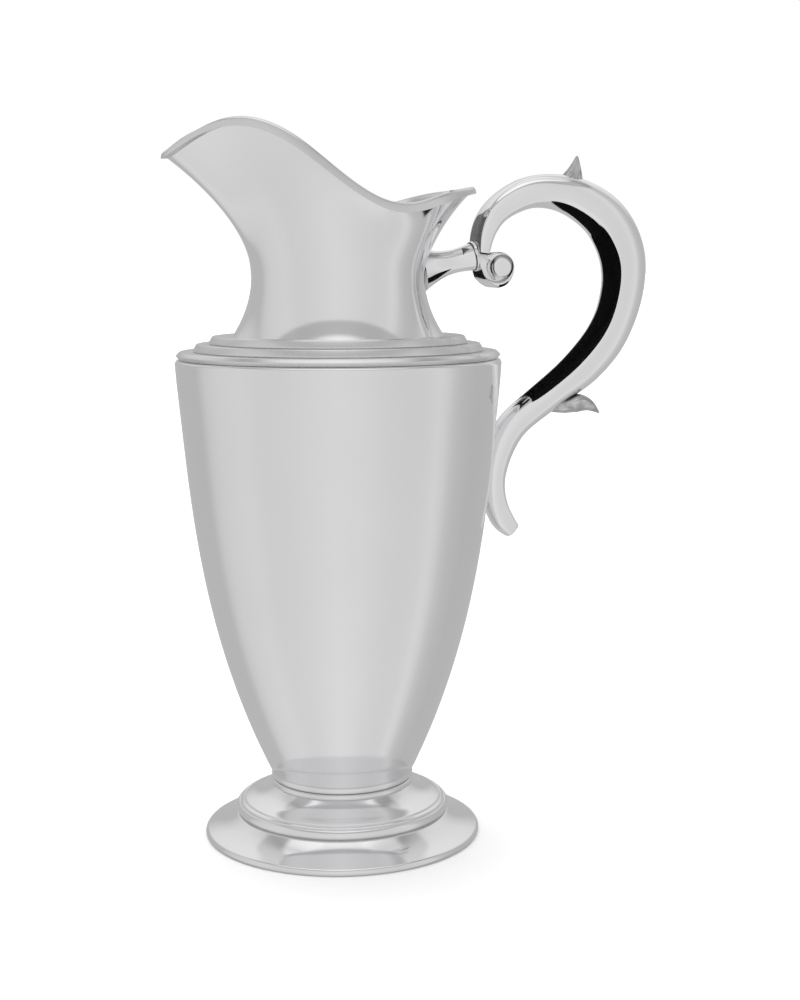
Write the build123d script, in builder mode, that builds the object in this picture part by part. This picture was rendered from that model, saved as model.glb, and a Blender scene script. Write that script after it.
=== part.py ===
from build123d import *
from math import atan2, cos, degrees, hypot, pi, radians, sin
import os

os.makedirs("parts", exist_ok=True)

# A silver water pitcher, in millimetres. The origin is the centre of the foot on the surface it
# stands on, +Z is up, the spout points to -X and the handle to +X. The vessel is spun and raised
# sheet, so most of its pieces are thin walls. The handle is a hollow casting made in two halves
# that meet on the XZ plane, with solid castings at its ends.

# ---- driving dimensions -------------------------------------------------------------------
sheet = 1.2                      # wall of the spun and raised sheet
casting_wall = 1.8               # wall of the hollow handle castings

foot_radius = 57.7               # outermost edge of the foot
foot_wire_width = 2.6
foot_wire_height = 3.0
flange_line = ((56.4, 2.7), (50.5, 5.3), (46.0, 8.2), (44.3, 9.5))
flange_height = 9.5
flange_seat_radius = 41.5        # inner edge of the flat seat under the dome
dome_line = ((44.0, 8.5), (44.6, 11.3), (43.1, 14.0), (41.2, 15.2), (36.5, 16.5), (32.5, 18.6),
             (29.4, 21.4), (28.3, 23.4))
dome_height = 21.3
dome_grooves = ((43.1, 14.0), (41.2, 15.2))
groove_radius = 0.35
collar_inner_radius = 25.0
collar_beads = ((21.3, 23.8, 29.9), (23.8, 26.8, 29.6))     # bottom, top, radius

body_line = ((0, 20.2), (16.0, 20.9), (26.0, 23.2), (31.8, 31.7), (40.6, 52.8), (49.5, 80.5),
             (57.0, 114.4), (61.7, 148.0), (64.9, 180.5), (66.2, 196.0))
body_line_ends = ((1, 0), (0.05, 1))         # directions of the line at its two ends
body_radius = 66.5               # at the rounded top edge
body_top = 198.9                 # underside of the stepped shoulder
body_edge_rounding = 2.6
body_flange_radius = 61.0        # inner edge of the turned-in top
step_height = 3.05
step_radii = (65.9, 59.0, 52.6)  # lower, middle and upper shoulder ring
step_edge_width = 4.5            # width of the solid edge of each ring
step_slant = 1.5                 # how far each edge leans in above its widest line
step_noses = (1.5, 0.4, 0.4)     # height of each ring's widest line above its underside
step_undercuts = (1.3, 0.3, 0.3)  # how far each ring draws in below that line
step_rounding = 0.25
step_lap = 2.5                   # how far each ring reaches in under the next

neck_bottom = body_top + 3 * step_height
neck_base_radius = 42.9
waist_height = 232.0
waist_radius = 35.05

rim_centre = -6.6                # middle of the rim's plan, from the vessel's axis
rim_half_length = 63.9
rim_half_width = 42.0
rim_pinch = 0.5                  # how much narrower the rim is at the spout
# height of the rim at even steps of the plan's angle, from above the handle to the spout's tip
rim_heights = (266.0, 265.4, 264.1, 260.4, 258.8, 269.4, 284.5, 290.6, 286.6, 280.4, 278.2)
# the flare at the sides, the handle and the spout: degrees from level at the rim, how far it
# runs straight there, and how far the wall keeps upright above the waist
flare_slopes = (45, 40, 36)
flare_lengths = (10, 14, 30)
waist_lengths = (12, 8, 12)
lip_wire_height = 2.7
lip_wire_thickness = 1.1
# the flat band of the lip wire, for the sides, the handle and the spout: how far its lower
# corner stands out from the sheet and how far it lies below the edge, along the sheet
lip_band_reaches = (3.8, 1.7, 1.7)
lip_band_drops = (0.9, 0.4, 0.4)

strut_rise = 13.0                # degrees, from the neck up to the handle
strut_end = (57.0, 239.5)        # middle of the strut's end at the collar
strut_line = ((0, 5.6), (9.5, 4.85), (17.0, 6.6), (23.0, 9.2))   # distance from the collar, radius
strut_collar_radius = 6.1
strut_collar_thickness = 2.4

# sections of the handle along its middle line, from the volute round the bow to the free end:
# x, z, half thickness in the handle's plane, half depth across it, how square the outer and the
# inner side are, as exponents where 2 is an ellipse, and how far the widest place leans inwards
handle_stations = (
    (60.5, 241.0, 2.8, 7.6, 5.0, 3.0, 0), (62.0, 249.0, 3.9, 7.7, 4.5, 3.0, 0),
    (66.5, 257.0, 4.9, 7.8, 4.0, 3.0, 0), (73.5, 262.4, 5.8, 7.9, 3.3, 2.8, 0.5),
    (82.0, 265.8, 6.5, 8.2, 2.8, 2.4, 1.3), (91.0, 266.4, 7.1, 8.6, 2.3, 2.0, 2.1),
    (99.9, 264.8, 8.0, 9.0, 2.2, 1.8, 3.0), (108.3, 261.0, 8.9, 9.3, 2.1, 1.6, 4.0),
    (115.7, 255.5, 9.6, 9.6, 2.0, 1.5, 4.8), (121.1, 248.0, 9.9, 9.7, 2.0, 1.5, 5.0),
    (124.3, 239.6, 9.8, 9.7, 2.0, 1.5, 5.0), (125.1, 230.6, 9.3, 9.6, 2.0, 1.5, 5.0),
    (123.8, 221.6, 9.0, 9.3, 2.0, 1.5, 4.8), (120.9, 212.8, 8.8, 9.0, 2.0, 1.5, 4.3),
    (116.4, 204.5, 8.8, 8.6, 2.0, 1.6, 3.6), (110.5, 197.3, 8.6, 8.2, 2.0, 1.7, 2.8),
    (103.8, 191.0, 8.1, 7.8, 2.0, 1.8, 1.9), (96.4, 185.6, 7.2, 7.4, 2.0, 1.9, 1.0),
    (89.2, 180.3, 6.8, 7.1, 2.0, 2.0, 0.5), (82.0, 175.0, 6.5, 6.8, 2.0, 2.1, 0),
    (75.2, 169.0, 6.4, 6.5, 2.0, 2.2, 0), (70.4, 161.4, 6.2, 6.2, 2.0, 2.2, 0),
    (67.6, 153.2, 5.6, 5.9, 2.2, 2.2, 0), (66.6, 145.0, 4.9, 5.6, 2.5, 2.2, 0),
    (67.2, 138.5, 4.7, 5.5, 3.0, 2.5, 0), (69.0, 132.6, 4.6, 5.5, 3.5, 3.0, 0),
    (71.9, 127.6, 4.3, 5.4, 4.0, 3.5, 0), (74.6, 124.8, 3.6, 4.8, 4.0, 3.5, 0),
)
bow_run = range(0, 24)           # stations of the bow, which is cast in two halves
hollow_run = range(1, 22)        # the stretch of the bow that is hollow
tail_run = range(23, 28)         # stations of the solid tail

scroll_centre = (67.5, 235.1)    # centre of the volute that starts the handle
scroll_left = 8.4                # reach of the volute from its centre, the handle's side
scroll_bottom = 8.3
scroll_right = 5.9
scroll_top = 6.3
scroll_half_depth = 7.5
button_radius = 3.9
button_height = 1.0

# upright sections of the leaf on top of the handle: height, centre x, half length, half width
thumb_leaf_sections = (
    (268.0, 99.3, 6.6, 5.2), (273.0, 99.7, 5.0, 4.4), (276.0, 101.3, 2.9, 3.0), (281.2, 102.9, 0.4, 0.5),
)
# spur leaf: x, z, half thickness, half width, from its root in the handle to its tip
spur_leaf_sections = (
    (93.0, 177.6, 3.4, 4.0), (98.5, 176.8, 3.2, 5.0), (104.0, 177.8, 3.9, 5.4),
    (109.5, 176.8, 2.6, 4.4), (114.4, 173.4, 0.35, 0.8),
)


# ---- helpers ------------------------------------------------------------------------------
def finish(piece, name):
    """Name a finished piece and write it to its own file."""
    piece.part.label = name
    export_step(piece.part, f"parts/{name}.step")


def thin_wall(points, **ends):
    """Draw a closed wall of sheet whose outside runs smoothly through the given points."""
    outside = Spline(*points, **ends)
    places = [place / 16 for place in range(17)]
    shifted = [outside @ place + (outside % place).rotate(Axis.Z, 90) * sheet for place in places]
    inside = Spline(*shifted)
    Line(outside @ 0, inside @ 0)
    Line(outside @ 1, inside @ 1)


def turned_in_top(outer, inner, bottom, top, rounding):
    """Draw the top of the body: a rounded edge and a flat flange reaching inwards."""
    Line((inner, top), (outer - rounding, top))
    RadiusArc((outer - rounding, top), (outer, top - rounding), rounding)
    Polyline(
        (outer, top - rounding),
        (outer, bottom),
        (outer - sheet, bottom),
        (outer - sheet, top - rounding),
        (outer - rounding - sheet, top - sheet),
        (inner, top - sheet),
        (inner, top),
    )


def step_outline(level, inner, bottom):
    """Draw one shoulder ring: a flat top reaching inwards, a slanted edge and its underside."""
    outer = step_radii[level]
    foot = outer - step_undercuts[level]
    top = bottom + step_height
    Polyline(
        (inner, top),
        (outer - step_slant, top),
        (outer, bottom + step_noses[level]),
        (foot, bottom),
        (foot - step_edge_width, bottom),
        (foot - step_edge_width, top - sheet),
        (inner, top - sheet),
        (inner, top),
    )


def rim_direction(step):
    """Plan angle of one step round the rim, its distance from the axis and its bearing."""
    angle = pi * step / (len(rim_heights) - 1)
    x = rim_centre + rim_half_length * cos(angle)
    pinch = 1 - rim_pinch * ((1 - cos(angle)) / 2) ** 2
    y = rim_half_width * sin(angle) * pinch
    return angle, hypot(x, y), degrees(atan2(y, x))


def round_rim(values, angle):
    """Blend three values, for the sides, the handle and the spout, round the rim."""
    side, handle, spout = values
    end = handle if cos(angle) > 0 else spout
    return side + (end - side) * cos(angle) ** 2


def rim_frame(step):
    """Outer edge of the neck's sheet at the rim, with the directions along and out of it."""
    angle, reach, _ = rim_direction(step)
    slope = radians(round_rim(flare_slopes, angle))
    along = Vector(cos(slope), sin(slope))
    outward = Vector(sin(slope), -cos(slope))
    edge = Vector(reach, rim_heights[step]) - outward * lip_wire_thickness
    return edge, along, outward


def flare_curve(step, inset):
    """Control points of the flared wall above the waist, set in from the outside."""
    angle, _, _ = rim_direction(step)
    edge, along, outward = rim_frame(step)
    waist = Vector(waist_radius - inset, waist_height)
    above_waist = waist + Vector(0, round_rim(waist_lengths, angle))
    end = edge - outward * inset
    return waist, above_waist, end - along * round_rim(flare_lengths, angle), end


def rim_plane(step):
    """The upright plane through the axis and one point of the rim, on the +Y side."""
    _, _, bearing = rim_direction(step)
    outward = Vector(1, 0, 0).rotate(Axis.Z, bearing)
    return Plane(origin=(0, 0, 0), x_dir=outward, z_dir=outward.cross(Vector(0, 0, 1)))


def station_plane(stations, index):
    """The plane square to a line of stations at one of them, its X axis in the XZ plane."""
    here = Vector(stations[index][0], 0, stations[index][1])
    before = stations[max(index - 1, 0)]
    after = stations[min(index + 1, len(stations) - 1)]
    along = Vector(after[0] - before[0], 0, after[1] - before[1]).normalized()
    return Plane(origin=here, x_dir=Vector(0, 1, 0).cross(along), z_dir=along)


def half_section(thickness, depth, outer_squareness, inner_squareness, lean):
    """Draw half of a rounded section, cut flat on the handle's plane, its inner side at +X."""
    corners = []
    for degree in (0, 25, 45, 65, 90, 115, 135, 155, 180):
        inner = degree < 90
        power = 2 / (inner_squareness if inner else outer_squareness)
        reach = thickness - lean if inner else -thickness - lean
        across = lean + abs(cos(radians(degree))) ** power * reach
        corners.append((across, sin(radians(degree)) ** power * depth))
    corners[-1] = (-thickness, 0)
    Spline(*corners, tangents=[(0, 1), (0, -1)])
    Line((-thickness, 0), (thickness, 0))


def handle_half(run, wall):
    """Loft half sections along a run of the handle's stations, set in by a wall all round."""
    with BuildPart() as half:
        for index in run:
            _, _, thickness, depth, *shape = handle_stations[index]
            with BuildSketch(station_plane(handle_stations, index)):
                with BuildLine():
                    half_section(thickness - wall, depth - wall, *shape)
                make_face()
        loft()
    return half.part


# ---- foot ---------------------------------------------------------------------------------
wire_inner_radius = foot_radius - foot_wire_width

with BuildPart() as foot_rim_wire:
    with BuildSketch(Plane.XZ):
        with BuildLine():
            ThreePointArc(
                (foot_radius - 1.0, 0),
                (foot_radius, foot_wire_height / 2),
                (foot_radius - 1.2, foot_wire_height),
            )
            Polyline(
                (foot_radius - 1.2, foot_wire_height),
                (wire_inner_radius, foot_wire_height),
                (wire_inner_radius, 0),
                (foot_radius - 1.0, 0),
            )
        make_face()
    revolve(axis=Axis.Z)
finish(foot_rim_wire, "foot_rim_wire")

with BuildPart() as foot_flange:
    with BuildSketch(Plane.XZ):
        with BuildLine():
            thin_wall(flange_line)
        make_face()
        seat_width = flange_line[-1][0] - flange_seat_radius
        with Locations((flange_seat_radius, flange_height)):
            Rectangle(seat_width, sheet, align=(Align.MIN, Align.MAX))
    revolve(axis=Axis.Z)
    add(foot_rim_wire.part, mode=Mode.SUBTRACT)
finish(foot_flange, "foot_flange")

with BuildPart() as foot_dome:
    with BuildSketch(Plane.XZ):
        with BuildLine():
            thin_wall(dome_line)
        make_face()
        with Locations(*dome_grooves):
            Circle(groove_radius, mode=Mode.SUBTRACT)
    revolve(axis=Axis.Z)
    split(bisect_by=Plane.XY.offset(dome_height), keep=Keep.BOTTOM)
    split(bisect_by=Plane.XY.offset(flange_height), keep=Keep.TOP)
finish(foot_dome, "foot_dome")

# ---- body ---------------------------------------------------------------------------------
with BuildPart() as body_shell:
    with BuildSketch(Plane.XZ):
        with BuildLine():
            thin_wall(body_line, tangents=body_line_ends)
        make_face()
        with BuildLine():
            side_top = body_line[-1][1] - 0.5
            turned_in_top(body_radius, body_flange_radius, side_top, body_top, body_edge_rounding)
        make_face()
    revolve(axis=Axis.Z)
finish(body_shell, "body_shell")

with BuildPart() as body_space:
    with BuildSketch(Plane.XZ):
        with BuildLine():
            outside = Spline(*body_line, tangents=body_line_ends)
            Polyline(outside @ 1, (0, body_line[-1][1]), outside @ 0)
        make_face()
    revolve(axis=Axis.Z)

with BuildPart() as foot_collar:
    with BuildSketch(Plane.XZ):
        with BuildLine():
            for bottom, top, radius in collar_beads:
                edge = radius - 0.9
                ThreePointArc((edge, bottom), (radius, (bottom + top) / 2), (edge, top))
            first_edge = collar_beads[0][2] - 0.9
            second_edge = collar_beads[1][2] - 0.9
            Line((first_edge, collar_beads[0][1]), (second_edge, collar_beads[1][0]))
            Polyline(
                (second_edge, collar_beads[1][1]),
                (collar_inner_radius, collar_beads[1][1]),
                (collar_inner_radius, collar_beads[0][0]),
                (first_edge, collar_beads[0][0]),
            )
        make_face()
    revolve(axis=Axis.Z)
    add(body_space.part, mode=Mode.SUBTRACT)
finish(foot_collar, "foot_collar")

# ---- stepped shoulder ---------------------------------------------------------------------
inner_radii = (step_radii[1] - step_lap, step_radii[2] - step_lap, neck_base_radius - sheet)
ring_names = ("shoulder_ring_lower", "shoulder_ring_middle", "shoulder_ring_upper")

for level, ring_name in enumerate(ring_names):
    ring_bottom = body_top + level * step_height
    with BuildPart() as shoulder_ring:
        with BuildSketch(Plane.XZ):
            with BuildLine():
                step_outline(level, inner_radii[level], ring_bottom)
            make_face()
        revolve(axis=Axis.Z)
        circles = shoulder_ring.edges().filter_by(GeomType.CIRCLE)
        nose = circles.sort_by(SortBy.RADIUS)[-1]
        crest = circles.group_by(Axis.Z)[-1].sort_by(SortBy.RADIUS)[-1]
        fillet([nose, crest], radius=step_rounding)
    finish(shoulder_ring, ring_name)

# ---- neck with the spout, and the wire round its rim --------------------------------------
half_turn = range(len(rim_heights))

with BuildPart() as neck:
    for step in half_turn:
        with BuildSketch(rim_plane(step)):
            with BuildLine():
                base_bend = (waist_radius, (neck_bottom + waist_height) / 2)
                outer_base = Bezier(
                    (neck_base_radius, neck_bottom),
                    base_bend,
                    (waist_radius, waist_height),
                )
                outer_flare = Bezier(*flare_curve(step, 0))
                inner_flare = Bezier(*flare_curve(step, sheet))
                inner_base = Bezier(
                    (neck_base_radius - sheet, neck_bottom),
                    (base_bend[0] - sheet, base_bend[1]),
                    (waist_radius - sheet, waist_height),
                )
                Line(outer_flare @ 1, inner_flare @ 1)
                Line(outer_base @ 0, inner_base @ 0)
            make_face()
    loft()
    mirror(about=Plane.XZ)

with BuildPart() as lip_blank:
    for step in half_turn:
        angle, _, _ = rim_direction(step)
        edge, along, outward = rim_frame(step)
        top = edge - outward * sheet
        foot = edge - along * lip_wire_height
        crown = edge + along * 0.35
        drop = along * round_rim(lip_band_drops, angle)
        corner = edge - drop + outward * round_rim(lip_band_reaches, angle)
        with BuildSketch(rim_plane(step)):
            with BuildLine():
                Polyline(foot, foot - outward * sheet / 2, top)
                ThreePointArc(top, top + along * 0.4 + outward * 0.5, crown)
                Polyline(crown, corner, foot)
            make_face()
    loft()
    mirror(about=Plane.XZ)
    add(neck.part, mode=Mode.SUBTRACT)

with BuildPart() as lip_wire:
    add(lip_blank.solids().sort_by(SortBy.VOLUME)[-1])
finish(neck, "neck")
finish(lip_wire, "lip_wire")

# ---- handle -------------------------------------------------------------------------------
with BuildPart() as handle_blank:
    add(handle_half(bow_run, 0))
    mirror(about=Plane.XZ)

with BuildPart() as handle_back_half:
    add(handle_half(bow_run, 0))
    add(handle_half(hollow_run, casting_wall), mode=Mode.SUBTRACT)
    add(body_space.part, mode=Mode.SUBTRACT)
finish(handle_back_half, "handle_back_half")

with BuildPart() as handle_front_half:
    mirror(handle_back_half.part, about=Plane.XZ)
finish(handle_front_half, "handle_front_half")

with BuildPart() as handle_tail:
    add(handle_half(tail_run, 0))
    mirror(about=Plane.XZ)
    add(body_space.part, mode=Mode.SUBTRACT)
finish(handle_tail, "handle_tail")

# ---- volute at the handle's upper end -----------------------------------------------------
handle_start = station_plane(handle_stations, 0)
start_thickness = handle_stations[0][2]
inner_corner = handle_start.origin + handle_start.x_dir * start_thickness
outer_corner = handle_start.origin - handle_start.x_dir * start_thickness
centre_x, centre_z = scroll_centre

with BuildPart() as volute_scroll:
    with BuildSketch(Plane.XZ):
        with BuildLine():
            Spline(
                (outer_corner.X, outer_corner.Z),
                (centre_x - scroll_left, centre_z),
                (centre_x - scroll_left * 0.68, centre_z - scroll_bottom * 0.72),
                (centre_x - 1.5, centre_z - scroll_bottom),
                (centre_x + scroll_right * 0.72, centre_z - scroll_bottom * 0.72),
                (centre_x + scroll_right, centre_z),
                (centre_x + scroll_right * 0.7, centre_z + scroll_top * 0.72),
                (centre_x, centre_z + scroll_top),
                (inner_corner.X, inner_corner.Z),
            )
            Line((inner_corner.X, inner_corner.Z), (outer_corner.X, outer_corner.Z))
        make_face()
    extrude(amount=scroll_half_depth, both=True)
finish(volute_scroll, "volute_scroll")

for side_name, side in (("front", -1), ("back", 1)):
    face_of_scroll = Plane(origin=(centre_x, side * scroll_half_depth, centre_z), z_dir=(0, side, 0))
    with BuildPart() as volute_button:
        with BuildSketch(face_of_scroll):
            Circle(button_radius)
        extrude(amount=button_height)
        fillet(volute_button.edges().sort_by(Axis.Y)[-1 if side > 0 else 0], radius=button_height / 2)
    finish(volute_button, f"volute_button_{side_name}")

# ---- strut between the neck and the handle ------------------------------------------------
strut_end_point = Vector(strut_end[0], 0, strut_end[1])
towards_handle = Vector(cos(radians(strut_rise)), 0, sin(radians(strut_rise)))

with BuildPart() as strut_blank:
    with BuildSketch(Plane(origin=strut_end_point, x_dir=-towards_handle, z_dir=(0, -1, 0))):
        with BuildLine():
            side_line = Spline(*strut_line)
            Polyline(side_line @ 1, (strut_line[-1][0], 0), (0, 0), side_line @ 0)
        make_face()
    revolve(axis=Axis(strut_end_point, towards_handle))
    add(neck.part, mode=Mode.SUBTRACT)

with BuildPart() as handle_strut:
    add(strut_blank.solids().sort_by(Axis.X)[-1])
finish(handle_strut, "handle_strut")

with BuildPart() as strut_collar:
    with BuildSketch(Plane(origin=strut_end_point, z_dir=towards_handle)):
        Circle(strut_collar_radius)
    extrude(amount=strut_collar_thickness)
    add(handle_blank.part, mode=Mode.SUBTRACT)
    add(volute_scroll.part, mode=Mode.SUBTRACT)
finish(strut_collar, "strut_collar")

# ---- leaves on the handle -----------------------------------------------------------------
with BuildPart() as thumb_leaf:
    for height, x, half_length, half_width in thumb_leaf_sections:
        with BuildSketch(Plane.XY.offset(height)):
            with Locations((x, 0)):
                Ellipse(half_length, half_width)
    loft()
    add(handle_blank.part, mode=Mode.SUBTRACT)
finish(thumb_leaf, "thumb_leaf")

with BuildPart() as spur_leaf:
    for index, (_, _, half_thickness, half_width) in enumerate(spur_leaf_sections):
        with BuildSketch(station_plane(spur_leaf_sections, index)):
            Ellipse(half_thickness, half_width)
    loft()
    add(handle_blank.part, mode=Mode.SUBTRACT)
finish(spur_leaf, "spur_leaf")
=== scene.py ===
import math

import bmesh
import bpy
import numpy as np
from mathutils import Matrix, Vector
from mathutils.bvhtree import BVHTree


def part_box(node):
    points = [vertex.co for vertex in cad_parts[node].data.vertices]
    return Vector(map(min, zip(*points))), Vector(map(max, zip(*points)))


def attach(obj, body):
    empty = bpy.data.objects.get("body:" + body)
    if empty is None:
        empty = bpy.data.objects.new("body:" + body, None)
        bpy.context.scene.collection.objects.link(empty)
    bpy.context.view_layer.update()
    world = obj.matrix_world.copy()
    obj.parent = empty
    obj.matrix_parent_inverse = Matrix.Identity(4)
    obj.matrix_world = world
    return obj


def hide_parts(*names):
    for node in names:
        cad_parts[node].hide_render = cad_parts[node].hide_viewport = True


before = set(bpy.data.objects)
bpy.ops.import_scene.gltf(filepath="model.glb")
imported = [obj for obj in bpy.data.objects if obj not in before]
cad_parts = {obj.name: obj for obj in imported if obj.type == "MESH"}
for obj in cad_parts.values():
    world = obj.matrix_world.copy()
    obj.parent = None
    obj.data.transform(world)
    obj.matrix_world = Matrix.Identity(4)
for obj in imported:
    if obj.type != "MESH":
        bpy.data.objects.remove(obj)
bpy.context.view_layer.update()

# Looks of a silver water pitcher. All shapes below are in millimetres in the CAD's frame: the foot
# stands on Z = 0 round the Z axis, the spout points to -X and the handle to +X.
MM = 0.001
AROUND = 288                     # columns of a turned piece
SHEET = 1.2                      # wall of the spun and raised sheet


# ---- lines and curves -----------------------------------------------------------------------
def smooth_curve(rows, start=None, end=None):
    """A smooth curve through rows of numbers, spaced by the distance between their first two.

    Returns a function from an array of places, 0 at the first row to 1 at the last, to rows.
    start and end are the curve's directions at its ends, and without them it ends straight.
    """
    rows = np.array(rows, float)
    gaps = np.linalg.norm(np.diff(rows[:, :2], axis=0), axis=1)
    reach = gaps.sum()
    gaps = gaps / reach
    knots = np.concatenate([[0], np.cumsum(gaps)])
    size = len(rows)
    matrix = np.zeros((size, size))
    right = np.zeros_like(rows)
    for index in range(1, size - 1):
        before, after = gaps[index - 1], gaps[index]
        matrix[index, index - 1:index + 2] = 1 / before, 2 / before + 2 / after, 1 / after
        rise = (rows[index] - rows[index - 1]) / before ** 2
        right[index] = 3 * (rise + (rows[index + 1] - rows[index]) / after ** 2)
    for index, neighbour, gap, direction in ((0, 1, gaps[0], start), (-1, -2, gaps[-1], end)):
        if direction is None:
            matrix[index, index], matrix[index, neighbour] = 2, 1
            right[index] = 3 * (rows[neighbour] - rows[index]) / gap * (1 if index == 0 else -1)
        else:
            matrix[index, index] = 1
            right[index] = np.array(direction, float) / np.linalg.norm(direction) * reach
    slopes = np.linalg.solve(matrix, right)

    def curve(places):
        places = np.atleast_1d(places)
        left = np.clip(np.searchsorted(knots, places) - 1, 0, size - 2)
        width = gaps[left][:, None]
        t = (places - knots[left])[:, None] / width
        value = (2 * t ** 3 - 3 * t ** 2 + 1) * rows[left] + (3 * t ** 2 - 2 * t ** 3) * rows[left + 1]
        bend = (t ** 3 - 2 * t ** 2 + t) * slopes[left] + (t ** 3 - t ** 2) * slopes[left + 1]
        return value + bend * width

    return curve


def bezier(corners, count):
    """Points along a Bezier curve with three or four corners."""
    corners = np.repeat(np.array(corners, float)[:, None], count, axis=1)
    t = np.linspace(0, 1, count)[:, None]
    while len(corners) > 1:
        corners = corners[:-1] * (1 - t) + corners[1:] * t
    return corners[0]


def rounded(corners, steps=7):
    """A closed outline with each corner (x, y, radius) rounded off."""
    corners = np.array(corners, float)
    outline = []
    for index, (x, y, radius) in enumerate(corners):
        here = np.array((x, y))
        arms = []
        for other in (corners[index - 1][:2], corners[(index + 1) % len(corners)][:2]):
            arm = other - here
            length = np.linalg.norm(arm)
            arms.append(here + arm / length * min(radius, 0.49 * length))
        outline.extend(bezier((arms[0], here, arms[1]), steps) if radius else [here])
    return np.array(outline)


def full_turn(count):
    """Angles once round, the last one short of the first."""
    return np.linspace(0, 2 * math.pi, count, endpoint=False)


def inset(line, distance):
    """A line moved sideways, to its left, by a distance."""
    along = np.gradient(line, axis=0)
    along /= np.linalg.norm(along, axis=1)[:, None]
    return line + np.stack([-along[:, 1], along[:, 0]], axis=1) * distance


# ---- meshes ---------------------------------------------------------------------------------
def grid_mesh(name, grid, closed_rows=False):
    """A closed mesh from rows of points in millimetres, each row a closed loop.

    With closed_rows the last row joins the first. Otherwise each end is closed to its middle.
    """
    rows, columns = grid.shape[:2]
    points = [tuple(point) for point in grid.reshape(-1, 3) * MM]
    faces = []
    for row in range(rows if closed_rows else rows - 1):
        here, above = row * columns, (row + 1) % rows * columns
        for column in range(columns):
            beside = (column + 1) % columns
            faces.append((here + column, here + beside, above + beside, above + column))
    if not closed_rows:
        for row in (0, rows - 1):
            middle = len(points)
            points.append(tuple(grid[row].mean(axis=0) * MM))
            for column in range(columns):
                beside = (column + 1) % columns
                faces.append((row * columns + column, row * columns + beside, middle))
    mesh = bpy.data.meshes.new(name)
    mesh.from_pydata(points, [], faces)
    builder = bmesh.new()
    builder.from_mesh(mesh)
    bmesh.ops.remove_doubles(builder, verts=builder.verts, dist=1e-7)
    bmesh.ops.dissolve_degenerate(builder, edges=builder.edges, dist=1e-8)
    bmesh.ops.recalc_face_normals(builder, faces=builder.faces)
    if builder.calc_volume(signed=True) < 0:
        bmesh.ops.reverse_faces(builder, faces=builder.faces)
    builder.to_mesh(mesh)
    builder.free()
    mesh.shade_smooth()
    mesh.set_sharp_from_angle(angle=math.radians(42))
    piece = bpy.data.objects.new(name, mesh)
    bpy.context.scene.collection.objects.link(piece)
    return piece


def turned(name, outline, closed=True):
    """A piece turned round the Z axis from an outline of (radius, height)."""
    turns = full_turn(AROUND)
    radius, height = outline[:, 0][:, None], outline[:, 1][:, None]
    grid = np.stack([radius * np.cos(turns), radius * np.sin(turns), height + 0 * turns], axis=2)
    return grid_mesh(name, grid, closed_rows=closed)


def dress(piece, node, slot):
    """Let a piece stand for its CAD node, ride with the pitcher and take its slot's finish."""
    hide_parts(node)
    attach(piece, "root")
    piece.data.materials.append(finishes[slot])


# ---- materials ------------------------------------------------------------------------------
RECESS_REACH = 0.0025            # metres within which the ambient occlusion darkens a recess
MARK_DEPTH = 0.00002             # metres between the tops and the bottoms of the marks


def maths(tree, operation, first, second):
    """The result of a maths node on two sockets or plain numbers."""
    node = tree.nodes.new("ShaderNodeMath")
    node.operation = operation
    for socket, value in zip(node.inputs, (first, second)):
        if isinstance(value, (int, float)):
            socket.default_value = value
        else:
            tree.links.new(value, socket)
    return node.outputs["Value"]


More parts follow.
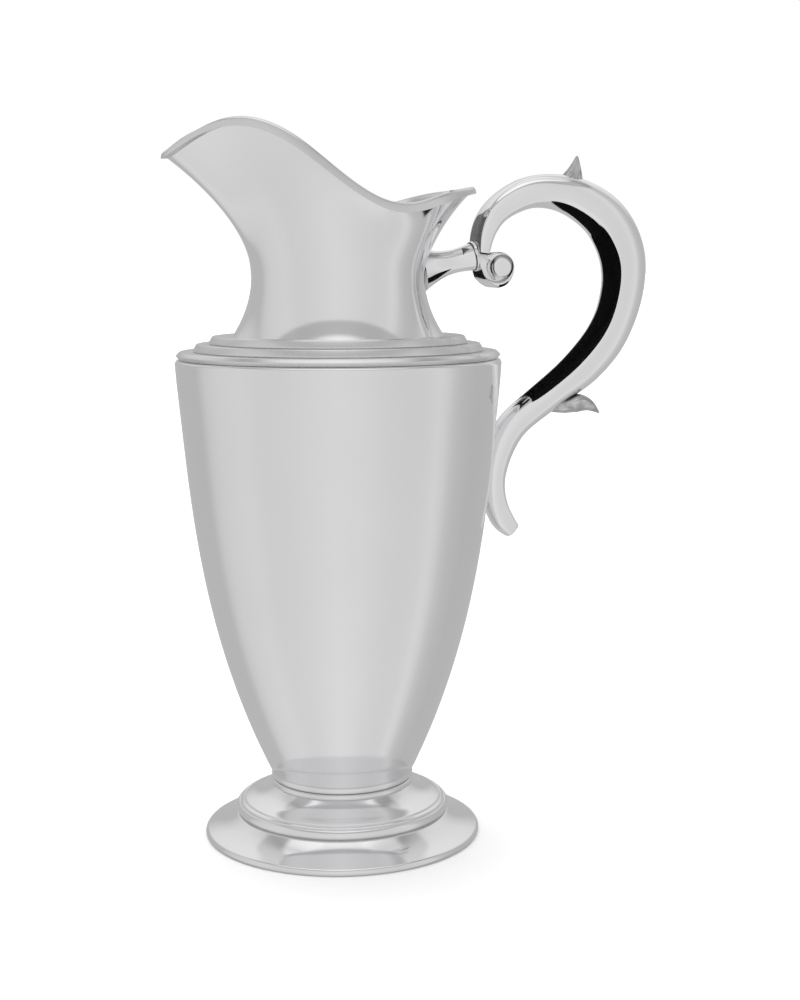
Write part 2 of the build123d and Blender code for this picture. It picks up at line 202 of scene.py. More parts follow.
def silver(name, colour, dark_colour, roughness, tarnish, lines):
    """Silver with a clouded polish, fine wear, patches of tarnish and a darker colour in the recesses.

    roughness is (polished, worn). tarnish is (patches per metre, share of it), and its share also sets how
    dark the recesses get.
    lines is (number per metre, how strongly they stand out, direction) of the tool's marks.
    """
    material = bpy.data.materials.new(name)
    material.use_nodes = True
    tree = material.node_tree
    nodes, links = tree.nodes, tree.links
    shader = nodes["Principled BSDF"]
    shader.inputs["Metallic"].default_value = 1.0
    place = nodes.new("ShaderNodeTexCoord")

    def noise(scale, detail, stretch=(1, 1, 1)):
        mapping = nodes.new("ShaderNodeMapping")
        mapping.inputs["Scale"].default_value = stretch
        links.new(place.outputs["Object"], mapping.inputs["Vector"])
        texture = nodes.new("ShaderNodeTexNoise")
        texture.inputs["Scale"].default_value = scale
        texture.inputs["Detail"].default_value = detail
        links.new(mapping.outputs["Vector"], texture.inputs["Vector"])
        return texture.outputs["Fac"]

    def spread(source, low, high, to_low, to_high):
        span = nodes.new("ShaderNodeMapRange")
        for socket, value in zip(span.inputs[1:5], (low, high, to_low, to_high)):
            socket.default_value = value
        links.new(source, span.inputs["Value"])
        return span.outputs["Result"]

    patch_scale, patch_share = tarnish
    clouds = spread(noise(patch_scale, 3), 0.35, 0.75, 0, patch_share)
    # the recesses take the dark colour where an ambient occlusion node finds nearby surfaces
    recess = nodes.new("ShaderNodeAmbientOcclusion")
    recess.samples = 8
    recess.inputs["Distance"].default_value = RECESS_REACH
    depth = spread(recess.outputs["AO"], 0.35, 0.9, 1, 0)
    recess_darkening = maths(tree, "MULTIPLY", depth, min(1.0, patch_share * 5))
    patches_and_recess_darkening = maths(tree, "MAXIMUM", clouds, recess_darkening)
    blend = nodes.new("ShaderNodeMix")
    blend.data_type = "RGBA"
    blend.inputs["A"].default_value = (*colour, 1)
    blend.inputs["B"].default_value = (*dark_colour, 1)
    links.new(patches_and_recess_darkening, blend.inputs["Factor"])
    links.new(blend.outputs["Result"], shader.inputs["Base Color"])

    scratches = spread(noise(900, 2, (1, 1, 0.06)), 0.62, 0.72, 0, 1)
    smears = spread(noise(35, 4), 0.3, 0.8, *roughness)
    worn = maths(tree, "ADD", smears, maths(tree, "MULTIPLY", scratches, 0.05))
    rough = maths(tree, "ADD", worn, maths(tree, "MULTIPLY", patches_and_recess_darkening, 0.12))
    links.new(rough, shader.inputs["Roughness"])

    count, strength, direction = lines
    marks = nodes.new("ShaderNodeTexWave")
    marks.bands_direction = direction
    marks.inputs["Scale"].default_value = count / 20
    marks.inputs["Distortion"].default_value = 1.5
    marks.inputs["Detail"].default_value = 2
    links.new(place.outputs["Object"], marks.inputs["Vector"])
    bump = nodes.new("ShaderNodeBump")
    bump.inputs["Strength"].default_value = strength
    bump.inputs["Distance"].default_value = MARK_DEPTH
    tool_marks = maths(tree, "MULTIPLY", marks.outputs["Fac"], 0.6)
    ripples = maths(tree, "MULTIPLY", noise(160, 3), 1.2)
    links.new(maths(tree, "ADD", tool_marks, ripples), bump.inputs["Height"])
    links.new(bump.outputs["Normal"], shader.inputs["Normal"])
    return material


# name, colour, dark colour of the tarnish patches and of the recesses, roughness, tarnish, tool's marks
FINISHES = (
    ("spun_silver", (0.88, 0.88, 0.89), (0.70, 0.69, 0.67),
     (0.07, 0.13), (18, 0.08), (2600, 0.08, "Z")),
    ("satin_silver", (0.78, 0.78, 0.79), (0.62, 0.61, 0.59),
     (0.20, 0.27), (12, 0.03), (2200, 0.10, "Z")),
    ("silver_wire", (0.87, 0.87, 0.88), (0.50, 0.49, 0.47),
     (0.06, 0.12), (40, 0.12), (1800, 0.08, "Z")),
    ("cast_silver", (0.93, 0.93, 0.94), (0.48, 0.48, 0.45),
     (0.04, 0.08), (30, 0.08), (900, 0.08, "X")),
    ("chased_leaf_silver", (0.72, 0.72, 0.73), (0.10, 0.10, 0.09),
     (0.10, 0.20), (220, 0.75), (1400, 0.5, "X")),
)
finishes = {finish[0]: silver(*finish) for finish in FINISHES}

# ---- foot -----------------------------------------------------------------------------------
GROOVES = ((43.1, 14.0), (41.2, 15.2))      # where the two lines are cut in the dome
GROOVE_DEPTH = 0.55
GROOVE_WIDTH = 0.3

foot_wire = rounded((
    (55.1, 0, 0.3), (57.0, 0, 0.7), (57.7, 1.5, 1.0), (56.6, 3.0, 0.7), (55.1, 3.0, 0.3),
))
dress(turned("polished_foot_rim_wire", foot_wire), "foot_rim_wire", "silver_wire")

flange = smooth_curve(((56.4, 2.9), (50.5, 5.3), (46.0, 8.2), (44.3, 9.5)))(np.linspace(0, 1, 30))
seat = np.array(((43.8, 9.6), (41.6, 9.6), (41.6, 8.4), (43.2, 8.4)))
underside = inset(flange, SHEET)[::-1]
flange_outline = np.concatenate([flange, seat, underside])
dress(turned("polished_foot_flange", flange_outline), "foot_flange", "spun_silver")

dome_line = smooth_curve(
    ((42.9, 9.55), (44.6, 11.3), *GROOVES, (36.5, 16.5), (32.5, 18.6), (29.4, 21.3))
)(np.linspace(0, 1, 260))
dome_outside = dome_line.copy()
for groove in GROOVES:
    away = np.linalg.norm(dome_line - groove, axis=1)
    share = np.exp(-(away / GROOVE_WIDTH) ** 2)[:, None]
    dome_outside = dome_outside + (inset(dome_line, GROOVE_DEPTH) - dome_line) * share
dome_inside = inset(dome_line, SHEET)[::-6]
dome_outline = np.concatenate([dome_outside, dome_inside])
dress(turned("polished_foot_dome", dome_outline), "foot_dome", "spun_silver")

# ---- body -----------------------------------------------------------------------------------
body_points = ((0, 20.2), (16.0, 20.9), (26.0, 23.2), (31.8, 31.7), (40.6, 52.8), (49.5, 80.5),
               (57.0, 114.4), (61.7, 148.0), (64.9, 180.5), (66.2, 196.0))
body_side = smooth_curve(body_points, (1, 0), (0.05, 1))
body_outside = body_side(np.linspace(0, 1, 220))
shoulder_edge = bezier(((66.3, 196.4), (66.45, 198.9), (63.9, 198.9)), 12)
body_flange = np.array(((61.2, 198.9), (61.0, 198.8), (61.0, 197.8), (63.6, 197.7), (65.1, 196.2)))
body_inside = inset(body_outside, SHEET)[::-2]
body_inside[-1, 0] = 0
body_outline = np.concatenate([body_outside, shoulder_edge, body_flange, body_inside])
dress(turned("polished_body_shell", body_outline, closed=False), "body_shell", "spun_silver")


def body_radius(height):
    """Outer radius of the body at a height above its bottom."""
    return np.interp(height, body_outside[8:, 1], body_outside[8:, 0])


COLLAR_BEADS = ((21.3, 23.8, 29.9), (23.8, 26.8, 29.6))      # bottom, top, radius
BEAD_REACH = 1.2                 # how far a bead stands out


def collar_outline():
    """Two half-round beads that follow the body's tapered foot on their inner side."""
    beads = []
    for bottom, top, radius in COLLAR_BEADS:
        turn = np.linspace(-1.35, 1.35, 14)
        half = (top - bottom) / 2
        out = radius - BEAD_REACH + BEAD_REACH * np.cos(turn)
        beads.append(np.stack([out, (top + bottom) / 2 + half * np.sin(turn)], axis=1))
    heights = np.linspace(26.8, 23.6, 8)
    beads.append(np.stack([body_radius(heights), heights], axis=1))
    beads.append(np.array(((25.2, 22.9), (25.2, 21.3))))
    return np.concatenate(beads)


dress(turned("polished_foot_collar", collar_outline()), "foot_collar", "silver_wire")

# ---- stepped shoulder -----------------------------------------------------------------------
STEP = 3.05                      # height of one ring
SHOULDER_BOTTOM = 198.9
RING_SEAT = 4.5                  # width of a ring's flat underside
# name, outer and inner radius, height of the widest line above the underside, draw below that line
RINGS = (("lower", 65.9, 56.5, 1.5, 1.3), ("middle", 59.0, 50.1, 0.4, 0.3), ("upper", 52.6, 41.7, 0.4, 0.3))
for level, (ring_name, outer, inner, nose, draw) in enumerate(RINGS):
    bottom = SHOULDER_BOTTOM + level * STEP
    top = bottom + STEP
    heel = outer - draw - RING_SEAT
    outline = rounded((
        (inner, top, 0.2), (outer - 1.5, top, 0.35), (outer, bottom + nose, 0.35),
        (outer - draw, bottom, 0.15), (heel, bottom, 0.2),
        (heel, top - SHEET, 0.2), (inner, top - SHEET, 0.2),
    ))
    node = f"shoulder_ring_{ring_name}"
    dress(turned(f"polished_{node}", outline), node, "satin_silver")

# ---- neck, spout and lip --------------------------------------------------------------------
# heights of the rim in even steps from the handle to the spout
RIM_HEIGHTS = (266.0, 265.4, 264.1, 260.4, 258.8, 269.4, 284.5, 290.6, 286.6, 280.4, 278.2)
RIM_MIDDLE = -6.6                # X of the middle of the rim, seen from above
RIM_HALF_LENGTH = 63.9
RIM_HALF_WIDTH = 42.0
SPOUT_NARROWING = 0.5
# the next three are for the sides, the handle and the spout
RIM_SLOPES = (45, 40, 36)        # degrees
LIP_REACHES = (3.8, 1.7, 1.7)
LIP_DROPS = (0.9, 0.4, 0.4)
LIP_THICKNESS = 1.1
WAIST = (35.05, 232.0)
NECK_BOTTOM = 208.05
NECK_BASE_RADIUS = 42.9


def round_rim(values, angle):
    """Blend three values, for the sides, the handle and the spout, round the rim."""
    side, handle, spout = values
    end = handle if math.cos(angle) > 0 else spout
    return side + (end - side) * math.cos(angle) ** 2


def rim_place(angle):
    """Bearing of one place of the rim, its edge, and the directions along and out of the sheet."""
    x = RIM_MIDDLE + RIM_HALF_LENGTH * math.cos(angle)
    y = RIM_HALF_WIDTH * math.sin(angle) * (1 - SPOUT_NARROWING * ((1 - math.cos(angle)) / 2) ** 2)
    height = np.interp(math.acos(math.cos(angle)), rim_angles_at, rim_heights_at)
    slope = math.radians(round_rim(RIM_SLOPES, angle))
    along = np.array((math.cos(slope), math.sin(slope)))
    outward = np.array((math.sin(slope), -math.cos(slope)))
    edge = np.array((math.hypot(x, y), height)) - outward * LIP_THICKNESS
    return math.atan2(y, x), edge, along, outward


# the first numbers are far apart, so that the curve is evenly spaced round the rim
rim_rows = [(1000 * step, height) for step, height in enumerate(RIM_HEIGHTS)]
rim_samples = smooth_curve(rim_rows, (1, 0), (1, 0))(np.linspace(0, 1, 2001))
rim_angles_at = rim_samples[:, 0] / rim_samples[-1, 0] * math.pi
rim_heights_at = rim_samples[:, 1]


def neck_profile(angle, wall):
    """One upright section of the neck's outside, or of its inside with wall as its thickness."""
    _, edge, along, outward = rim_place(angle)
    waist = np.array((WAIST[0] - wall, WAIST[1]))
    base = (NECK_BASE_RADIUS - wall, NECK_BOTTOM)
    bend = (waist[0], (NECK_BOTTOM + WAIST[1]) / 2)
    end = edge - outward * wall
    above = waist + (0, round_rim((12, 8, 12), angle))
    lower_part = bezier((base, bend, waist), 36)
    upper_part = bezier((waist, above, end - along * round_rim((10, 14, 30), angle), end), 56)
    return np.concatenate([lower_part, upper_part[1:]])


def to_bearing(section, bearing):
    """Stand a section of (radius, height) up at a bearing round the axis."""
    radius, height = section[:, 0], section[:, 1]
    return np.stack([radius * math.cos(bearing), radius * math.sin(bearing), height], axis=1)


neck_columns = []
lip_columns = []
for angle in full_turn(320):
    bearing, edge, along, outward = rim_place(angle)
    section = np.concatenate([neck_profile(angle, 0), neck_profile(angle, SHEET)[::-1]])
    neck_columns.append(to_bearing(section, bearing))
    reach = round_rim(LIP_REACHES, angle)
    drop = round_rim(LIP_DROPS, angle)
    ring = rounded(((-2.7, -0.05, 0.15), (-drop, reach, 0.35), (0.4, 0.05, 0.5), (0.25, -1.25, 0.5),
                    (-1.0, -1.2, 0.2), (-1.3, -0.4, 0.2)))
    section = edge + ring[:, :1] * along + ring[:, 1:] * outward
    lip_columns.append(to_bearing(section, bearing))
neck = grid_mesh("polished_neck", np.array(neck_columns), closed_rows=True)
dress(neck, "neck", "spun_silver")
lip_wire = grid_mesh("polished_lip_wire", np.array(lip_columns), closed_rows=True)
dress(lip_wire, "lip_wire", "satin_silver")

# ---- handle ---------------------------------------------------------------------------------
# x, z, half thickness, half depth, squareness of the outer and of the inner side, and how far
# the widest place leans inwards
STATIONS = (
    (60.5, 241.0, 2.8, 7.6, 5.0, 3.0, 0), (62.0, 249.0, 3.9, 7.7, 4.5, 3.0, 0),
    (66.5, 257.0, 4.9, 7.8, 4.0, 3.0, 0), (73.5, 262.4, 5.8, 7.9, 3.3, 2.8, 0.5),
    (82.0, 265.8, 6.5, 8.2, 2.8, 2.4, 1.3), (91.0, 266.4, 7.1, 8.6, 2.3, 2.0, 2.1),
    (99.9, 264.8, 8.0, 9.0, 2.2, 1.8, 3.0), (108.3, 261.0, 8.9, 9.3, 2.1, 1.6, 4.0),
    (115.7, 255.5, 9.6, 9.6, 2.0, 1.5, 4.8), (121.1, 248.0, 9.9, 9.7, 2.0, 1.5, 5.0),
    (124.3, 239.6, 9.8, 9.7, 2.0, 1.5, 5.0), (125.1, 230.6, 9.3, 9.6, 2.0, 1.5, 5.0),
    (123.8, 221.6, 9.0, 9.3, 2.0, 1.5, 4.8), (120.9, 212.8, 8.8, 9.0, 2.0, 1.5, 4.3),
    (116.4, 204.5, 8.8, 8.6, 2.0, 1.6, 3.6), (110.5, 197.3, 8.6, 8.2, 2.0, 1.7, 2.8),
    (103.8, 191.0, 8.1, 7.8, 2.0, 1.8, 1.9), (96.4, 185.6, 7.2, 7.4, 2.0, 1.9, 1.0),
    (89.2, 180.3, 6.8, 7.1, 2.0, 2.0, 0.5), (82.0, 175.0, 6.5, 6.8, 2.0, 2.1, 0),
    (75.2, 169.0, 6.4, 6.5, 2.0, 2.2, 0), (70.4, 161.4, 6.2, 6.2, 2.0, 2.2, 0),
    (67.6, 153.2, 5.6, 5.9, 2.2, 2.2, 0), (66.6, 145.0, 4.9, 5.6, 2.5, 2.2, 0),
    (67.2, 138.5, 4.7, 5.5, 3.0, 2.5, 0), (69.0, 132.6, 4.6, 5.5, 3.5, 3.0, 0),
    (71.9, 127.6, 4.3, 5.4, 4.0, 3.5, 0), (74.6, 124.8, 3.6, 4.8, 4.0, 3.5, 0),
)
TAIL_STATION = 23                # the row of the handle's seat on the body, where the tail starts
TAIL_RIB = 0.07                  # share of the tail's section that its ribs take away at the end
TIP_LENGTH = 1.6                 # of the tail's rounded end

handle_curve = smooth_curve(STATIONS)
station_gaps = [math.dist(a[:2], b[:2]) for a, b in zip(STATIONS, STATIONS[1:])]
tail_start = sum(station_gaps[:TAIL_STATION]) / sum(station_gaps)


def station_frames(places):
    """Rows like those of STATIONS, and directions along and inwards, at places along the handle."""
    rows = handle_curve(places)
    step = 1e-4
    after, before = handle_curve(np.clip(places + step, 0, 1)), handle_curve(np.clip(places - step, 0, 1))
    along = after[:, :2] - before[:, :2]
    along /= np.linalg.norm(along, axis=1)[:, None]
    inward = np.stack([along[:, 1], -along[:, 0]], axis=1)
    return rows, along, inward


def squircle(turn, thickness, depth, outer, inner, lean):
    """A point of a rounded section: across the handle's plane and out of it."""
    across, out = math.cos(turn), math.sin(turn)
    side = 1 if across > 0 else -1
    power = 2 / (inner if across > 0 else outer)
    x = lean + side * abs(across) ** power * (thickness - side * lean)
    return x, math.copysign(abs(out) ** power, out) * depth


def handle_half(side):
    """One cast half of the bow, closed on the handle's plane."""
    rows, _, inward = station_frames(np.linspace(0, tail_start, 300))
    turns = np.linspace(0, math.pi, 73)
    grid = []
    for (x, z, *shape), (in_x, in_z) in zip(rows, inward):
        ring = []
        for turn in turns:
            across, out = squircle(turn, *shape)
            ring.append((x + in_x * across, side * out, z + in_z * across))
        grid.append(ring)
    return np.array(grid)


dress(grid_mesh("polished_handle_front_half", handle_half(-1)), "handle_front_half", "cast_silver")
dress(grid_mesh("polished_handle_back_half", handle_half(1)), "handle_back_half", "cast_silver")


def tail_grid():
    """The solid tail, ribbed towards its rounded free end."""
    places = np.linspace(tail_start, 1, 70)
    rows, along, inward = station_frames(places)
    turns = full_turn(120)
    grid = []
    for place, (x, z, *shape), (in_x, in_z) in zip(places, rows, inward):
        share = (place - tail_start) / (1 - tail_start)
        rib = TAIL_RIB * share ** 1.5
        ring = []
        for turn in turns:
            across, out = squircle(turn, *shape)
            swell = 1 - rib * (1 - abs(math.cos(2.5 * turn)) ** 0.7)
            ring.append((x + in_x * across * swell, out * swell, z + in_z * across * swell))
        grid.append(ring)
    end_x, end_z = rows[-1][:2]
    last = np.array(grid[-1])
    middle = np.array((end_x, 0, end_z))
    tip = np.array((along[-1][0], 0, along[-1][1]))
    for lift in np.linspace(0.15, 1, 8):
        shrink = math.sqrt(1 - min(lift, 0.995) ** 2)
        grid.append(middle + (last - middle) * shrink + tip * lift * TIP_LENGTH)
    return np.array(grid)


dress(grid_mesh("polished_handle_tail", tail_grid()), "handle_tail", "cast_silver")

# ---- volute ---------------------------------------------------------------------------------
EYE = np.array((67.5, 235.1))
# turns of the raised bead from the strap's outer edge round the eye: degrees, distance
BEAD = (
    (148, 11.0), (168, 9.9), (185, 8.7), (205, 8.3), (226, 7.7), (250, 6.9),
    (275, 6.1), (316, 5.15), (351, 5.2), (377, 5.4), (406, 5.5), (441, 5.4),
    (473, 5.2), (503, 5.0), (531, 4.9), (561, 4.8), (583, 5.0), (604, 5.3),
)
BEAD_START, BEAD_END = BEAD[0][0], BEAD[-1][0]
bead_curve = smooth_curve(BEAD)(np.linspace(0, 1, 500))


def bead_distance(degree):
    """How far the raised bead is from the eye."""
    return np.interp(degree, bead_curve[:, 0], bead_curve[:, 1])


def volute_outline(count):
    """The volute's outline in the handle's plane, closed across the strap's end."""
    x, z = EYE
    rows, _, inward = station_frames(np.array([0.0]))
    start = rows[0][:2]
    inner_corner = start + inward[0] * rows[0][2]
    outer_corner = start - inward[0] * rows[0][2]
    line = smooth_curve((
        outer_corner, (x - 8.4, z), (x - 5.7, z - 6.0), (x - 1.5, z - 8.3), (x + 4.25, z - 6.0),
        (x + 5.9, z), (x + 4.1, z + 4.5), (x, z + 6.3), inner_corner,
    ))(np.linspace(0, 1, count))
    across = np.linspace(inner_corner, outer_corner, 14)[1:-1]
    return np.concatenate([line, across])


def volute_height(distance, degree, edge):
    """How far the volute's face stands out of the handle's plane at one place."""
    turn = degree if degree >= BEAD_START else degree + 360
    bead = bead_distance(turn)
    inner_bead = bead_distance(turn + 360) if turn + 360 <= BEAD_END else 0
    if distance > bead:
        fall = min(1, (distance - bead) / max(edge - bead, 0.3))
        return 4.4 + 3.0 * math.sqrt(max(0, 1 - fall ** 2))
    ridge = 2.4 * math.exp(-((distance - bead) / 0.5) ** 2)
    inner = 2.0 * math.exp(-((distance - inner_bead) / 0.45) ** 2) if inner_bead else 0
    eye = 1.8 if distance < 4.1 else 0
    return 5.0 + max(ridge, inner, eye)


def volute_grid():
    """The volute from the middle of its back face over the edge to the middle of its front face."""
    outline = volute_outline(260)
    arms = outline - EYE
    edges = np.linalg.norm(arms, axis=1)
    degrees = np.degrees(np.arctan2(arms[:, 1], arms[:, 0])) % 360
    shares = np.concatenate([np.linspace(0.02, 0.4, 8), np.linspace(0.42, 1.0, 70)])
    grid = []
    for side, order in ((1, shares), (-1, shares[::-1])):
        for share in order:
            ring = []
            for arm, edge, degree in zip(arms, edges, degrees):
                place = EYE + arm * share
                height = volute_height(edge * share, degree, edge)
                ring.append((place[0], side * height, place[1]))
            grid.append(ring)
    return np.array(grid)


dress(grid_mesh("polished_volute_scroll", volute_grid()), "volute_scroll", "cast_silver")

for side_name, side in (("front", -1), ("back", 1)):
    shoulder = bezier(((3.9, 7.9), (3.9, 8.5), (3.2, 8.5)), 10)
    profile = np.concatenate([[(3.9, 6.3)], shoulder, [(1.6, 8.5), (0.05, 8.5)]])
    button = np.array([
        [
            (EYE[0] + radius * math.cos(turn), side * height, EYE[1] + radius * math.sin(turn))
            for turn in full_turn(96)
        ]
        for radius, height in profile
    ])
    node = f"volute_button_{side_name}"
    dress(grid_mesh(f"polished_{node}", button), node, "cast_silver")

# ---- strut and its collar -------------------------------------------------------------------
STRUT_END = np.array((57.0, 0, 239.5))
STRUT_LINE = ((0, 5.6), (9.5, 4.85), (17.0, 6.6), (23.0, 9.2))       # distance from the collar, radius
RISE = math.radians(13)          # of the strut, from the neck up to the handle
towards_handle = np.array((math.cos(RISE), 0, math.sin(RISE)))
upwards = np.array((-math.sin(RISE), 0, math.cos(RISE)))


def strut_grid():
    """The waisted strut from the collar to where it runs into the neck's sheet."""
    neck_points = [vertex.co for vertex in neck.data.vertices]
    neck_tree = BVHTree.FromPolygons(neck_points, [face.vertices[:] for face in neck.data.polygons])
    line = smooth_curve(STRUT_LINE)(np.linspace(0, 1, 120))
    columns = []
    for turn in full_turn(96):
        sideways = upwards * math.sin(turn) + np.array((0, math.cos(turn), 0))
        run = [STRUT_END - towards_handle * back + sideways * radius for back, radius in line]
        meets = len(run) - 1
        for index in range(1, len(run)):
            here, after = Vector(run[index - 1] * MM), Vector(run[index] * MM)
            if neck_tree.ray_cast(here, after - here, (after - here).length)[0] is not None:
                meets = min(index + 2, len(run) - 1)
                break
        run = np.array(run[:meets + 1])
        places = np.linspace(0, len(run) - 1, 60)
        evened = [np.interp(places, range(len(run)), run[:, axis]) for axis in range(3)]
        columns.append(np.stack(evened, axis=1))
    return np.array(columns).transpose(1, 0, 2)


dress(grid_mesh("polished_handle_strut", strut_grid()), "handle_strut", "cast_silver")

collar_edge = bezier(((-0.3, 5.2), (-0.4, 6.2), (0.3, 6.3), (1.3, 6.2)), 16)
collar_profile = np.concatenate([[(-0.3, 0.05)], collar_edge, [(1.6, 0.05)]])
collar = np.array([
    [
        STRUT_END + towards_handle * out + upwards * radius * math.sin(turn)
        + np.array((0, radius * math.cos(turn), 0))
        for turn in full_turn(96)
    ]
    for out, radius in collar_profile
])
dress(grid_mesh("polished_strut_collar", collar), "strut_collar", "silver_wire")

# ---- leaves ---------------------------------------------------------------------------------
def thumb_leaf_grid():
    """A pointed leaf that stands on the handle, veined from its foot to its tip."""
    # height, left edge, right edge, half width
    levels = smooth_curve((
        (265.5, 91.5, 107.0, 5.2), (268.5, 93.2, 106.3, 5.0), (272.0, 95.7, 105.6, 4.4),
        (275.5, 98.9, 104.9, 3.3), (278.5, 101.2, 104.2, 2.0), (281.0, 102.7, 103.6, 0.5),
    ))(np.linspace(0, 1, 90))
    grid = []
    for height, left, right, half_width in levels:
        ring = []
        for turn in full_turn(180):
            vein = 1 - 0.16 * (1 - abs(math.cos(4 * turn))) ** 2 - 0.04 * abs(math.sin(16 * turn))
            x = (left + right) / 2 + (right - left) / 2 * math.cos(turn) * vein
            ring.append((x, half_width * math.sin(turn) * vein, height))
        grid.append(ring)
    return np.array(grid)


dress(grid_mesh("chased_thumb_leaf", thumb_leaf_grid()), "thumb_leaf", "chased_leaf_silver")


def spur_leaf_grid():
    """A leaf that springs from under the handle and curls down at its tip."""
    # x, z, half thickness, half width
    rows = smooth_curve((
        (93.0, 177.6, 3.4, 4.0), (98.5, 176.8, 3.2, 5.0), (104.0, 177.8, 3.9, 5.4),
        (109.5, 176.8, 2.6, 4.4), (114.4, 173.4, 0.35, 0.8),
    ))(np.linspace(0, 1, 110))
    along = np.gradient(rows[:, :2], axis=0)
    along /= np.linalg.norm(along, axis=1)[:, None]
    grid = []
    for (x, z, half_thickness, half_width), (along_x, along_z) in zip(rows, along):
        ring = []
        for turn in full_turn(144):
            vein = 1 - 0.06 * (1 - abs(math.cos(1.5 * turn))) ** 3
            up = half_thickness * math.sin(turn) * vein
            ring.append((x - along_z * up, half_width * math.cos(turn) * vein, z + along_x * up))
        grid.append(ring)
    return np.array(grid)


dress(grid_mesh("chased_spur_leaf", spur_leaf_grid()), "spur_leaf", "chased_leaf_silver")

# ---- studio ---------------------------------------------------------------------------------
CAMERA_TURN = math.radians(16)   # the camera stands this far round from straight in front
CAMERA_DIP = 8.15                # degrees that it looks down
CAMERA_ROLL = 0.19               # degrees
CAMERA_PLACE = (-0.1597, -0.6480, 0.2358)    # metres
FLOOR_REACH = 40                 # metres
BLACK = 0.004                    # grey of the black cards
LATER_RAYS = 1.5                 # ray depth between a first reflection and the later ones

camera_data = bpy.data.cameras.new("camera")
camera_data.sensor_width = 36
camera_data.lens = 58.8
camera = bpy.data.objects.new("camera", camera_data)
camera.location = CAMERA_PLACE
camera.rotation_euler = (math.radians(90 - CAMERA_DIP), math.radians(CAMERA_ROLL), -CAMERA_TURN)
bpy.context.scene.collection.objects.link(camera)
bpy.context.scene.camera = camera

floor_material = bpy.data.materials.new("floor_paint")
floor_material.use_nodes = True
floor_shader = floor_material.node_tree.nodes["Principled BSDF"]
floor_shader.inputs["Base Color"].default_value = (0.88, 0.88, 0.88, 1)
floor_shader.inputs["Roughness"].default_value = 0.9
floor_shader.inputs["Specular IOR Level"].default_value = 0.0
floor_mesh = bpy.data.meshes.new("floor")
floor_corners = [(x * FLOOR_REACH, y * FLOOR_REACH, 0) for x, y in ((-1, -1), (1, -1), (1, 1), (-1, 1))]
floor_mesh.from_pydata(floor_corners, [], [(0, 1, 2, 3)])
floor_mesh.materials.append(floor_material)
floor = bpy.data.objects.new("floor", floor_mesh)
floor.visible_glossy = False
bpy.context.scene.collection.objects.link(floor)


def stage_card(name, corners, grey):
    """A card that only the silver sees: in its first reflection, and only from the front."""
    mesh = bpy.data.meshes.new(name)
    mesh.from_pydata(corners, [], [(0, 1, 2, 3)])
    material = bpy.data.materials.new(name)
    material.use_nodes = True
    nodes, links = material.node_tree.nodes, material.node_tree.links
    paint = nodes["Principled BSDF"]
    paint.inputs["Base Color"].default_value = (grey, grey, grey, 1)
    paint.inputs["Specular IOR Level"].default_value = 0
    side_seen = nodes.new("ShaderNodeNewGeometry")
    path = nodes.new("ShaderNodeLightPath")
    later = maths(material.node_tree, "GREATER_THAN", path.outputs["Ray Depth"], LATER_RAYS)
    unseen = maths(material.node_tree, "MAXIMUM", side_seen.outputs["Backfacing"], later)
    clear = nodes.new("ShaderNodeBsdfTransparent")
    chooser = nodes.new("ShaderNodeMixShader")
    links.new(unseen, chooser.inputs["Fac"])
    links.new(paint.outputs["BSDF"], chooser.inputs[1])
    links.new(clear.outputs["BSDF"], chooser.inputs[2])
    links.new(chooser.outputs["Shader"], nodes["Material Output"].inputs["Surface"])
    mesh.materials.append(material)
    card = bpy.data.objects.new(name, mesh)
    card.visible_camera = False
    card.visible_diffuse = False
    card.visible_shadow = False
    bpy.context.scene.collection.objects.link(card)


def upright_card(name, x, near_y, far_y, low_z, high_z, grey, near_y_below=None):
    """A card beside the neck that faces the handle, with its near edge upright or slanted."""
    low_y = near_y if near_y_below is None else near_y_below
    corners = [(x, low_y, low_z), (x, far_y, low_z), (x, far_y, high_z), (x, near_y, high_z)]
    stage_card(name, corners, grey)


def level_card(name, low_x, high_x, near_y, far_y, z, faces_up):
    """A black card across the gap in the handle that faces up or down."""
    corners = [(low_x, near_y, z), (high_x, near_y, z), (high_x, far_y, z), (low_x, far_y, z)]
    stage_card(name, corners if faces_up else corners[::-1], BLACK)


# the cards darken what the inner side of the handle's bow, its strap and the volute mirror
handle_low, handle_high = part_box("handle_back_half")
scroll_low, scroll_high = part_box("volute_scroll")
neck_side, gap_side = handle_low.x - 0.006, scroll_high.x + 0.002
gap_floor, gap_top = handle_high.z - 0.080, handle_high.z - 0.010
upright_card("black_card_left_of_gap", gap_side, -0.16, 0.15, gap_floor, gap_top, BLACK, near_y_below=-0.02)
upright_card("grey_card_left_of_gap", gap_side, 0.15, 0.40, gap_floor, gap_top, 0.15)
upright_card("black_card_beside_volute", neck_side, -0.03, 0.05, scroll_low.z - 0.02, scroll_high.z, 0.01)
upright_card("grey_card_beside_strap", neck_side, -0.01, 0.10, scroll_high.z, handle_high.z, 0.16)
level_card("black_card_above_gap", gap_side, handle_high.x - 0.034, 0.015, 0.25, gap_top, False)
level_card("black_card_across_gap", gap_side, handle_high.x - 0.030, -0.020, 0.05, gap_top - 0.057, True)

light_data = bpy.data.lights.new("soft_overhead_light", "SUN")
light_data.energy = 2.6
light_data.angle = math.radians(80)
light = bpy.data.objects.new("soft_overhead_light", light_data)
light.rotation_euler = (math.radians(-14), 0, 0)
light.visible_glossy = False
bpy.context.scene.collection.objects.link(light)

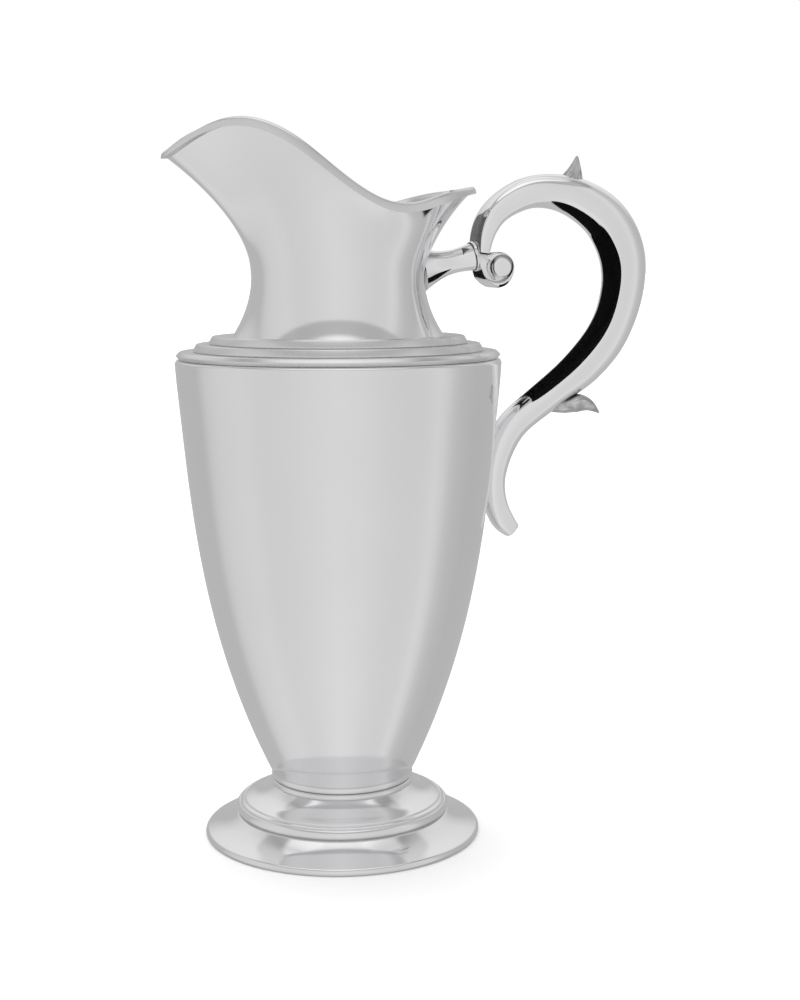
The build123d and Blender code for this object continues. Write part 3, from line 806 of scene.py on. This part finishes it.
world = bpy.data.worlds.new("studio")
bpy.context.scene.world = world
world.use_nodes = True
nodes, links = world.node_tree.nodes, world.node_tree.links
backdrop = nodes["Background"]
backdrop.inputs["Color"].default_value = (1, 1, 1, 1)
backdrop.inputs["Strength"].default_value = 1.0
tent = nodes.new("ShaderNodeBackground")
direction = nodes.new("ShaderNodeTexCoord")
turned_direction = nodes.new("ShaderNodeVectorRotate")
turned_direction.rotation_type = "Z_AXIS"
turned_direction.inputs["Angle"].default_value = CAMERA_TURN
links.new(direction.outputs["Generated"], turned_direction.inputs["Vector"])
parts = nodes.new("ShaderNodeSeparateXYZ")
links.new(turned_direction.outputs["Vector"], parts.inputs["Vector"])
bearing = maths(world.node_tree, "ARCTAN2", parts.outputs["X"], parts.outputs["Y"])


def grey_ramp(source, low, high, stops):
    """Greys at places along a range of a number."""
    span = nodes.new("ShaderNodeMapRange")
    span.inputs["From Min"].default_value = low
    span.inputs["From Max"].default_value = high
    links.new(source, span.inputs["Value"])
    ramp = nodes.new("ShaderNodeValToRGB")
    ramp.color_ramp.interpolation = "LINEAR"
    while len(ramp.color_ramp.elements) < len(stops):
        ramp.color_ramp.elements.new(0.5)
    for element, (place, grey) in zip(ramp.color_ramp.elements, stops):
        element.position = (place - low) / (high - low)
        element.color = (grey, grey, grey, 1)
    links.new(span.outputs["Result"], ramp.inputs["Fac"])
    return ramp.outputs["Color"]


def mixed(operation, first, second):
    """Two colours multiplied or added."""
    mix = nodes.new("ShaderNodeMix")
    mix.data_type = "RGBA"
    mix.blend_type = operation
    mix.inputs["Factor"].default_value = 1
    links.new(first, mix.inputs["A"])
    links.new(second, mix.inputs["B"])
    return mix.outputs["Result"]


# bearing is 0 behind the pitcher, and half a turn at the camera, in radians
round_tent = grey_ramp(bearing, -math.pi, math.pi, (
    (-3.14, 0.76), (-2.9, 0.74), (-2.5, 0.70), (-2.2, 0.69), (-1.9, 0.72), (-1.5, 0.69), (-1.3, 0.64),
    (-1.12, 0.52), (0, 0.50), (1.1, 0.50), (1.4, 0.54), (1.55, 0.60), (1.65, 0.68), (1.78, 0.73),
    (1.95, 0.69), (2.2, 0.68), (2.5, 0.70), (2.8, 0.74), (3.14, 0.76),
))
# parts.outputs["Z"] is -1 straight down and 1 straight up
up_tent = grey_ramp(parts.outputs["Z"], -1, 1, (
    (-1, 1.05), (-0.2, 1.0), (0.72, 1.0), (0.745, 0.68), (0.86, 0.68), (0.885, 1.35), (1, 1.45),
))
# the tent is lighter high up behind the pitcher, which the foot mirrors
behind = maths(world.node_tree, "MAXIMUM", parts.outputs["Y"], 0)
rear_height = maths(world.node_tree, "MULTIPLY", behind, parts.outputs["Z"])
rear_tent = grey_ramp(rear_height, -1, 1, ((-1, 0), (0.17, 0), (0.32, 0.26), (0.5, 0.36)))
links.new(mixed("ADD", mixed("MULTIPLY", round_tent, up_tent), rear_tent), tent.inputs["Color"])
path = nodes.new("ShaderNodeLightPath")
chooser = nodes.new("ShaderNodeMixShader")
links.new(path.outputs["Is Camera Ray"], chooser.inputs["Fac"])
links.new(tent.outputs["Background"], chooser.inputs[1])
links.new(backdrop.outputs["Background"], chooser.inputs[2])
links.new(chooser.outputs["Shader"], nodes["World Output"].inputs["Surface"])

bpy.context.scene.view_settings.view_transform = "Standard"
